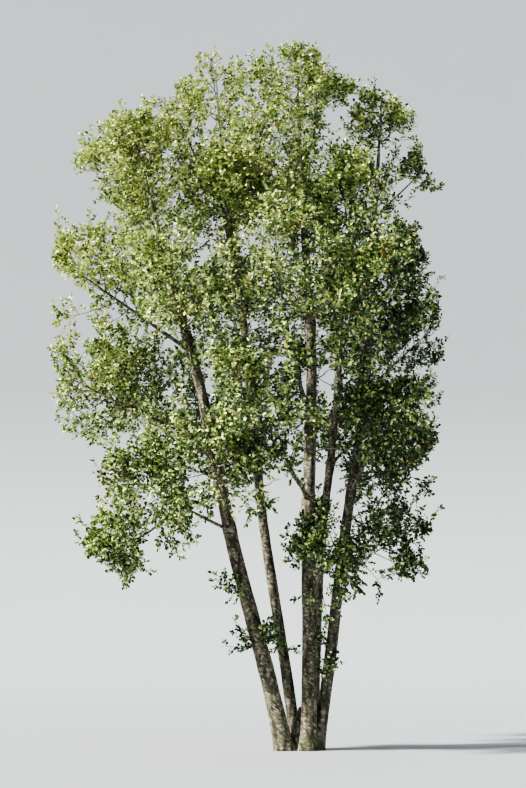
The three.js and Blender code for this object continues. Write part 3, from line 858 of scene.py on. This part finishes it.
class Sock:
    """A shader socket that takes part in sums."""

    def __init__(self, tree, socket):
        self.tree, self.socket = tree, socket

    def node(self, kind, settings=None, out=0, **values):
        """Adds a node of that type, with its settings, and the values or links of its sockets."""
        made = self.tree.nodes.new(kind)
        for key, value in (settings or {}).items():
            setattr(made, key, value)
        for key, value in values.items():
            socket = made.inputs[int(key[1:]) if key[1:].isdigit() else key.replace("_", " ")]
            if isinstance(value, Sock):
                self.tree.links.new(value.socket, socket)
            else:
                socket.default_value = value
        return Sock(self.tree, made.outputs[out])

    def feed(self, shader, name):
        """Links this to that socket of a shader."""
        self.tree.links.new(self.socket, shader.inputs[name])

    def maths(self, operation, *values):
        """A Math node on this socket and other values."""
        links = {f"i{n}": value for n, value in enumerate(values)}
        return self.node("ShaderNodeMath", {"operation": operation}, **links)

    def __add__(self, other):
        return self.maths("ADD", self, other)

    def __radd__(self, other):
        return self.maths("ADD", other, self)

    def __sub__(self, other):
        return self.maths("SUBTRACT", self, other)

    def __rsub__(self, other):
        return self.maths("SUBTRACT", other, self)

    def __mul__(self, other):
        return self.maths("MULTIPLY", self, other)

    def __rmul__(self, other):
        return self.maths("MULTIPLY", other, self)

    def ramp(self, low, high):
        """0 below low, 1 above high and smooth between."""
        settings = {"interpolation_type": "SMOOTHSTEP"}
        return self.node("ShaderNodeMapRange", settings, i0=self, i1=low, i2=high)

    def blend(self, first, second):
        """The first colour where this is 0 and the second where it is 1."""
        first = first if isinstance(first, Sock) else (*first, 1)
        second = second if isinstance(second, Sock) else (*second, 1)
        return self.node("ShaderNodeMix", {"data_type": "RGBA"}, out=2, i0=self, i6=first, i7=second)

    def stretched(self, scale):
        """This vector with its axes scaled."""
        return self.node("ShaderNodeMapping", i0=self, i3=scale)

    def patches(self, stretch, scale, detail, low, high):
        """Patches of noise over this vector, stretched along the limb."""
        return self.stretched((1, 1, stretch)).cloud(scale, detail).ramp(low, high)

    def cloud(self, scale, detail=3.0):
        """Soft noise from 0 to 1 at that scale over this vector."""
        return self.node("ShaderNodeTexNoise", Vector=self, Scale=scale, Detail=detail)


def new_material(name, **constants):
    """A material, its principled shader with those constants, and a socket to build on."""
    material = bpy.data.materials.new(name)
    material.use_nodes = True
    tree = material.node_tree
    shader = tree.nodes["Principled BSDF"]
    for key, value in constants.items():
        shader.inputs[key.replace("_", " ")].default_value = value
    return material, shader, Sock(tree, tree.nodes.new("ShaderNodeTexCoord").outputs["Object"])


def bark_material(name, settings, furrow_scale):
    """Grey-brown bark with pale lichen, dark furrows, slanting streaks of painted twig shadow, short level
    pores and moss near the ground."""
    material, shader, place = new_material(name, Specular_IOR_Level=0.3)
    furrows = place.stretched((1, 1, 0.22)).cloud(furrow_scale, detail=6.0)
    grain = place.stretched((1, 1, 0.5)).cloud(furrow_scale * 4, detail=4.0)
    lichen, pores = place.patches(*LICHEN), place.patches(*PORES)
    height = place.node("ShaderNodeSeparateXYZ", out=2, i0=place)
    moss = (1 - height.ramp(*MOSS_HEIGHTS)) * place.cloud(3.0, detail=5.0).ramp(0.42, 0.66)
    dark = 1 - furrows.ramp(0.38, 0.54)
    # Slanting dark streaks of painted twig shadow, as cast from the upper left.
    slanted = place.node("ShaderNodeMapping", i0=place, i2=(0, SHADOW_STREAK_SLANT, 0))
    shadow_streaks = slanted.patches(*SHADOW_STREAKS)
    colour = grain.blend(settings.bark, settings.bark_warm)
    for mask, strength, tint in (
        (lichen, 0.7, settings.lichen),
        (moss, 0.75, settings.moss),
        (pores, 0.7, settings.furrow_and_shadow),
        (dark, 0.8, settings.furrow_and_shadow),
        (shadow_streaks, 0.8, settings.furrow_and_shadow),
    ):
        colour = (mask * strength).blend(colour, tint)
    colour.feed(shader, "Base Color")
    (0.72 + grain * 0.2).feed(shader, "Roughness")
    raised = furrows * 0.7 + grain * 0.3
    bump = place.node("ShaderNodeBump", Height=raised, Strength=0.55, Distance=0.012)
    bump.feed(shader, "Normal")
    return material


def dead_wood_material(settings):
    """Bleached grey wood without its bark, with dark checks along it."""
    material, shader, place = new_material("dead wood", Roughness=0.8)
    checks = place.patches(*CHECKS)
    checks.blend(settings.bark, settings.bleached).feed(shader, "Base Color")
    return material


def twig_material(settings):
    """Smooth olive-brown bark of young wood, with pale pores."""
    material, shader, place = new_material("twig bark", Roughness=0.62)
    shade = place.cloud(9.0)
    pores = place.cloud(90.0, detail=1.0).ramp(0.62, 0.7)
    colour = shade.blend(settings.twig, settings.bark)
    (pores * 0.5).blend(colour, settings.lichen).feed(shader, "Base Color")
    return material


def leaf_material(name, colour, roughness):
    """One of the tints of the leaves."""
    constants = {"Base_Color": (*colour, 1), "Roughness": roughness, "Specular_IOR_Level": 0.25}
    return new_material(name, **constants)[0]


def floor_material(settings):
    """Plain floor that is faintly clouded, with a soft glow in the upper backdrop."""
    material, shader, place = new_material("floor", Roughness=0.9, Emission_Strength=settings.wall_glow)
    darker = [c * FLOOR_CLOUDS for c in settings.floor]
    place.cloud(0.2, detail=2.0).blend(settings.floor, darker).feed(shader, "Base Color")
    wall = place.node("ShaderNodeSeparateXYZ", out=2, i0=place).ramp(*GLOW_HEIGHTS)
    wall.blend((0.0, 0.0, 0.0), settings.floor).feed(shader, "Emission Color")
    return material


def hand_over(piece, nodes):
    """Puts a piece on the tree's body, in the place of those nodes."""
    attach(piece, "root")
    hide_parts(*nodes)


def nodes_named(start):
    """The frame's nodes whose names start like that."""
    return [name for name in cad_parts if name.startswith(start)]


def colour_property(name, description, default):
    """A colour that a user can change."""
    return FloatVectorProperty(
        name=name, description=description, default=default, subtype="COLOR", size=3, min=0, max=1
    )


def count_property(name, description, default):
    """A number of things that a user can change."""
    return IntProperty(name=name, description=description, default=default, min=1)


def amount_property(name, description, default, least=0.0, **kind):
    """A size, share, strength or angle that a user can change."""
    return FloatProperty(name=name, description=description, default=default, min=least, **kind)


class AlderBark(PropertyGroup):
    """Sizes and colours of the bark."""

    relief: amount_property("Relief", "Depth of the furrows at the foot", 0.008, unit="LENGTH")
    ring_step: amount_property(
        "Ring step", "Distance between the rings of a stem", 0.055, 0.01, unit="LENGTH"
    )
    bark: colour_property("Bark", "Plain bark", (0.135, 0.117, 0.085))
    bark_warm: colour_property("Warm bark", "Bark between the plates", (0.22, 0.19, 0.135))
    lichen: colour_property("Lichen", "Pale patches on the bark", (0.48, 0.445, 0.365))
    moss: colour_property("Moss", "Green film near the ground", (0.13, 0.15, 0.06))
    # This colour serves the dark furrows and pores and the painted twig shadows.
    furrow_and_shadow: colour_property("Furrow", "Bottom of the furrows, pores and streaks", (0.035, 0.032, 0.024))
    bleached: colour_property("Bleached", "Dead branches", (0.48, 0.45, 0.38))
    twig: colour_property("Twig", "Bark of the young wood", (0.16, 0.13, 0.08))


class AlderLeaves(PropertyGroup):
    """Numbers, sizes and colours of the shoots and leaves."""

    laterals: count_property("Laterals", "Side shoots on a leader of a mass of middling size", 22)
    twigs: count_property("Twigs", "Twigs on each side shoot", 14)
    twiglets: count_property("Twiglets", "Short shoots on each twig", 3)
    on_twig: count_property("Leaves on a twig", "Leaves that each twig bears", 14)
    on_twiglet: count_property("Leaves on a twiglet", "Leaves that each short shoot bears", 7)
    length: amount_property("Leaf", "Length of a leaf", 0.08, 0.01, unit="LENGTH")
    width: amount_property("Width", "Width of a leaf for its length", 0.74, 0.1)
    # From deep to pale these tints are dealt by place as painted shade and painted sunlight over the
    # crown.
    deep: colour_property("Deep green", "Shaded leaves", (0.038, 0.073, 0.034))
    green: colour_property("Green", "Full-grown leaves", (0.117, 0.178, 0.07))
    olive: colour_property("Olive", "Most leaves in the light", (0.255, 0.345, 0.122))
    yellow_green: colour_property("Yellow-green", "Paler leaves", (0.43, 0.525, 0.174))
    # Pale leaves are partly undersides and partly painted sunlight, the lightest step of the painted
    # light.
    pale: colour_property("Pale", "Leaves that show their undersides", (0.73, 0.765, 0.32))
    # Silver leaves are pale undersides and painted highlights, glints of the key light.
    silver: colour_property("Silver", "Undersides that catch the light", (0.94, 0.925, 0.59))
    yellow: colour_property("Yellow", "Leaves that turn in autumn", (0.62, 0.46, 0.10))
    rust: colour_property("Rust", "Withered leaves", (0.36, 0.17, 0.07))


class AlderStage(PropertyGroup):
    """Floor and light."""

    floor: colour_property("Floor", "Plain pale floor", (0.42, 0.44, 0.455))
    wall_glow: amount_property("Backdrop light", "Strength of the light in the upper backdrop", 0.06)
    sky: colour_property("Fill", "Soft light from all round", (0.80, 0.90, 1.0))
    sky_strength: amount_property("Fill strength", "Of the light from all round", 0.45)
    sun_strength: amount_property("Key strength", "Of the light from the left and the front", 9.6)
    sun_angle: amount_property(
        "Key softness", "Width of the light as seen from the tree", math.radians(5), subtype="ANGLE"
    )


class ALDER_OT_stems(Operator):
    """Make the bark of the root crown and the five stems"""

    bl_idname = "alder.stems"
    bl_label = "Stems"

    def execute(self, context):
        settings = context.scene.alder_bark
        parts = []
        for name, stem in make_stems().items():
            limbs = [limb for limb in make_limbs() if limb.name.startswith(name + "_")]
            bulges = [(limb.start, limb.radius) for limb in limbs]
            rings = int(stem.end[2] / settings.ring_step)
            parts.append(bark_tube(stem, rings, STEM_SIDES, settings.relief, STEM_BEGIN, bulges, FLARE))
        stool = make_stool()
        parts.append(bark_tube(stool, STOOL_RINGS, STEM_SIDES, settings.relief, STOOL_BEGIN, flare=FLARE))
        for corners, _ in parts:
            corners[:, 2] = np.maximum(corners[:, 2], 0)
        material = bark_material("stem bark", settings, furrow_scale=13.0)
        piece = new_mesh("bark_stems", *joined(parts), material)
        hand_over(piece, ["root_crown", *nodes_named("stem_")])
        return {"FINISHED"}


class ALDER_OT_boughs(Operator):
    """Make the bark of the boughs"""

    bl_idname = "alder.boughs"
    bl_label = "Boughs"

    def execute(self, context):
        settings = context.scene.alder_bark
        depth = settings.relief * BOUGH_RELIEF
        parts = [bark_tube(limb, rings=44, sides=14, depth=depth) for limb in make_boughs()]
        material = bark_material("bough bark", settings, furrow_scale=26.0)
        piece = new_mesh("bark_boughs", *joined(parts), material)
        hand_over(piece, nodes_named("bough_"))
        return {"FINISHED"}


class ALDER_OT_snags(Operator):
    """Make the dead branches, bare and bleached, with blunt ends"""

    bl_idname = "alder.snags"
    bl_label = "Dead branches"

    def execute(self, context):
        settings = context.scene.alder_bark
        parts = []
        for index, (stem_name, height, heading, rise, length, radius) in enumerate(SNAGS):
            stem = make_stems()[stem_name]
            start, along = stem.at(height / stem.end[2]), direction(heading, rise)
            end = start + along * (length + stem.radius)
            bend = (start + end) / 2 + UP * SNAG_ARCH * length
            girths = radius, radius * SNAG_TIP_SHARE
            snag = Limb(f"snag {index}", start, bend, end, SNAG_SWAY, SNAG_SEED + index, *girths)
            parts.append(bark_tube(snag, rings=16, sides=8, depth=settings.relief * SNAG_RELIEF))
        piece = new_mesh("dead_branches", *joined(parts), dead_wood_material(settings))
        hand_over(piece, nodes_named("bough_"))
        return {"FINISHED"}


class ALDER_OT_twigs(Operator):
    """Make the leaders, side shoots, twigs and twiglets of the masses"""

    bl_idname = "alder.twigs"
    bl_label = "Twigs"

    def execute(self, context):
        sizes, settings = context.scene.alder_leaves, context.scene.alder_bark
        leaders, laterals, twigs, twiglets = grow_crown(sizes.laterals, sizes.twigs, sizes.twiglets)
        thick = shoot_tubes(leaders, rings=14, sides=9, tip_share=0.25)
        wood = joined([thick, shoot_tubes(laterals, rings=7, sides=5, tip_share=0.4)])
        material = bark_material("branch bark", settings, furrow_scale=40.0)
        piece = new_mesh("branches", *wood, material)
        hand_over(piece, nodes_named("leaves_"))
        thin = shoot_tubes(twigs, rings=3, sides=3, tip_share=0.45)
        fine = joined([thin, shoot_spikes(twiglets, sides=3)])
        piece = new_mesh("twigs", *fine, twig_material(settings))
        hand_over(piece, nodes_named("leaves_"))
        return {"FINISHED"}


def bear_leaves(shoots, count, span, rng):
    """Leaves by turns on either side of each shoot, and one at its end."""
    which = np.repeat(np.arange(len(shoots)), count)
    order = np.tile(np.arange(count), len(shoots))
    places = order + rng.uniform(-LEAF_SCATTER, LEAF_SCATTER, len(which))
    t = np.clip(span[0] + (span[1] - span[0]) * places / max(count - 1, 1), 0, 1)
    axes = shoots.heading(which, t)
    turn = order * math.pi + rng.normal(0, LEAF_TURN_SCATTER, len(which))
    turn += np.repeat(rng.uniform(0, math.pi, len(shoots)), count)
    top = upper_of(axes)
    side = np.cross(axes, top)
    around = side * np.cos(turn)[:, None] + top * np.sin(turn)[:, None] * SPRAY_FLATNESS
    slant = np.where(order == count - 1, END_LEAF_ANGLE, rng.normal(*LEAF_ANGLES, len(which)))
    lift = UP * rng.normal(*LEAF_LIFT, len(which))[:, None]
    alongs = unit(turned(axes, unit(around), slant) + lift)
    return shoots.at(which, t), alongs, shoots.sprays[which]


def leaf_corners(places, alongs, sizes, rng):
    """The corners of each leaf (n, 6, 3), which faces up and out of the crown."""
    outward = unit(places - FACING_FROM)
    normals = UP * FACING_UP + outward * FACING_OUT + rng.normal(0, FACING_SCATTER, places.shape)
    sides = unit(np.cross(alongs, normals))
    normals = np.cross(sides, alongs)
    lengths = sizes.length * rng.uniform(*LEAF_SIZES, len(places))
    across, along, up = np.split(LEAF_CORNERS, 3, axis=1)
    corners = sides[:, None] * (across * sizes.width) + alongs[:, None] * along + normals[:, None] * up
    return places[:, None] + corners * lengths[:, None, None]


def deal_tints(places, sprays, rng):
    """A tint for each leaf: most follow their spray, and sprays outside, in front, to the left and higher
    up are painted lighter as painted sunlight, the others darker as painted shade."""
    count = int(sprays.max()) + 1
    middle = np.zeros((count, 3))
    np.add.at(middle, sprays, places)
    middle /= np.maximum(np.bincount(sprays, minlength=count), 1)[:, None]
    x, y, z = middle.T
    # Painted sunlight and shade: lighter towards the crown's outside, left, front and top, darker inside,
    # right, back and low.
    light = PAINTED_SUN_OUTSIDE * np.linalg.norm((middle - CROWN_MIDDLE) / CROWN_RADII, axis=1)
    light = light - PAINTED_SUN_LEFT * x / LIGHT_WIDTH - PAINTED_SUN_FRONT * y / LIGHT_WIDTH
    light += PAINTED_SUN_HIGH * (z - LIGHT_BASE) / LIGHT_RISE
    light += rng.normal(0, LIGHT_SCATTER, count)
    of_spray = np.digitize(light, np.quantile(light, TINT_STEPS))
    drift = rng.choice(tuple(TINT_DRIFT), len(sprays), p=tuple(TINT_DRIFT.values()))
    tint = np.clip(of_spray[sprays] + drift, 0, TINTS.index("pale"))
    chance = rng.uniform(size=len(tint))
    # Random leaves painted silver: pale undersides and painted glints.
    tint[chance < SILVER_GLINT_SHARE] = TINTS.index("silver")
    tint[chance > RUST_ABOVE] = TINTS.index("rust")
    tint[chance > YELLOW_ABOVE] = TINTS.index("yellow")
    return tint


class ALDER_OT_leaves(Operator):
    """Make the leaves, one piece for each tint"""

    bl_idname = "alder.leaves"
    bl_label = "Leaves"

    def execute(self, context):
        sizes = context.scene.alder_leaves
        _, _, twigs, twiglets = grow_crown(sizes.laterals, sizes.twigs, sizes.twiglets)
        rng = np.random.default_rng(FIRST_SEED + 1)
        groups = [
            bear_leaves(twigs, sizes.on_twig, ON_TWIG, rng),
            bear_leaves(twiglets, sizes.on_twiglet, ON_TWIGLET, rng),
        ]
        places, alongs, sprays = (np.concatenate(values) for values in zip(*groups))
        clear = wood_distance(places + alongs * sizes.length * LEAF_MIDDLE) > LEAF_GAP
        clear &= within_crown(places)
        thinning = THINNING * np.clip((places[:, 2] - THIN_FROM) / THIN_OVER, 0, 1)
        clear &= rng.uniform(size=len(places)) < 1 - thinning
        places, alongs, sprays = places[clear], alongs[clear], sprays[clear]
        corners = leaf_corners(places, alongs, sizes, rng)
        tints = deal_tints(places, sprays, rng)
        for number, (tint, roughness) in enumerate(zip(TINTS, TINT_ROUGHNESS)):
            mine = corners[tints == number]
            faces = LEAF_FACES[None] + np.arange(len(mine))[:, None, None] * len(LEAF_CORNERS)
            material = leaf_material(f"leaf {tint.replace('_', ' ')}", getattr(sizes, tint), roughness)
            verts, faces = mine.reshape(-1, 3), [faces.reshape(-1, 3)]
            piece = new_mesh(f"leaves_{tint}", verts, faces, material, smooth=False)
            hand_over(piece, nodes_named("leaves_"))
        return {"FINISHED"}


class ALDER_OT_stage(Operator):
    """Make the floor, the lights and the camera"""

    bl_idname = "alder.stage"
    bl_label = "Stage"

    def execute(self, context):
        settings = context.scene.alder_stage
        self.make_floor(settings)
        world = bpy.data.worlds.new("studio")
        context.scene.world = world
        world.use_nodes = True
        fill = world.node_tree.nodes["Background"]
        fill.inputs["Color"].default_value = (*settings.sky, 1)
        fill.inputs["Strength"].default_value = settings.sky_strength
        key = bpy.data.lights.new("key", "SUN")
        key.energy, key.angle, key.color = settings.sun_strength, settings.sun_angle, KEY_COLOUR
        lamp = bpy.data.objects.new("key", key)
        lamp.rotation_euler = Vector(KEY_COURSE).to_track_quat("-Z", "Y").to_euler()
        context.scene.collection.objects.link(lamp)
        self.make_camera(context)
        context.scene.view_settings.look = "AgX - High Contrast"
        return {"FINISHED"}

    def make_floor(self, settings):
        """A pale floor that curves up far behind the tree."""
        bend = np.linspace(0, math.pi / 2, 16)
        deep, high = FLOOR_BEND + FLOOR_RADIUS * np.sin(bend), FLOOR_RADIUS - FLOOR_RADIUS * np.cos(bend)
        run = [(FLOOR_NEAR, 0.0), *zip(deep, high), (FLOOR_BEND + FLOOR_RADIUS, FLOOR_TOP)]
        verts = np.array([(x, y, z) for y, z in run for x in (-FLOOR_SIDE, FLOOR_SIDE)])
        first = np.arange(len(run) - 1)[:, None] * 2
        floor = new_mesh("floor", verts, [first + np.array((0, 1, 3, 2))], floor_material(settings))

    def make_camera(self, context):
        """The camera stands where the photo was taken."""
        lens = bpy.data.cameras.new("camera")
        lens.sensor_fit, lens.sensor_width = "AUTO", SENSOR_SIZE
        lens.lens = SENSOR_SIZE * FOCAL_PIXELS / max(PHOTO_SIZE)
        lens.clip_end = FAR_CLIP
        camera = bpy.data.objects.new("camera", lens)
        camera.location = CAMERA_PLACE
        camera.rotation_euler = (math.radians(90 + CAMERA_RISE), 0, 0)
        context.scene.collection.objects.link(camera)
        context.scene.camera = camera


class ALDER_PT_sidebar(Panel):
    """Lists the tree's parts and their settings"""

    bl_idname = "ALDER_PT_sidebar"
    bl_label = "White Alder"
    bl_space_type = "VIEW_3D"
    bl_region_type = "UI"
    bl_category = "Alder"

    def draw(self, context):
        """Each group of settings, with the operators that use it."""
        for group, operators in (
            (context.scene.alder_bark, (ALDER_OT_stems, ALDER_OT_boughs, ALDER_OT_snags)),
            (context.scene.alder_leaves, (ALDER_OT_twigs, ALDER_OT_leaves)),
            (context.scene.alder_stage, (ALDER_OT_stage,)),
        ):
            box = self.layout.box()
            for key in group.__annotations__:
                box.prop(group, key)
            for operator in operators:
                box.operator(operator.bl_idname)


CLASSES = (
    AlderBark,
    AlderLeaves,
    AlderStage,
    ALDER_OT_stems,
    ALDER_OT_boughs,
    ALDER_OT_snags,
    ALDER_OT_twigs,
    ALDER_OT_leaves,
    ALDER_OT_stage,
    ALDER_PT_sidebar,
)


def register():
    """Registers the classes and gives the scene their settings."""
    for cls in CLASSES:
        bpy.utils.register_class(cls)
    bpy.types.Scene.alder_bark = PointerProperty(type=AlderBark)
    bpy.types.Scene.alder_leaves = PointerProperty(type=AlderLeaves)
    bpy.types.Scene.alder_stage = PointerProperty(type=AlderStage)


def unregister():
    """Takes the settings and the classes away again."""
    del bpy.types.Scene.alder_bark
    del bpy.types.Scene.alder_leaves
    del bpy.types.Scene.alder_stage
    for cls in reversed(CLASSES):
        bpy.utils.unregister_class(cls)


def main():
    """Builds the whole scene."""
    register()
    bpy.ops.alder.stems()
    bpy.ops.alder.boughs()
    bpy.ops.alder.snags()
    bpy.ops.alder.twigs()
    bpy.ops.alder.leaves()
    bpy.ops.alder.stage()


if __name__ == "__main__":
    main()
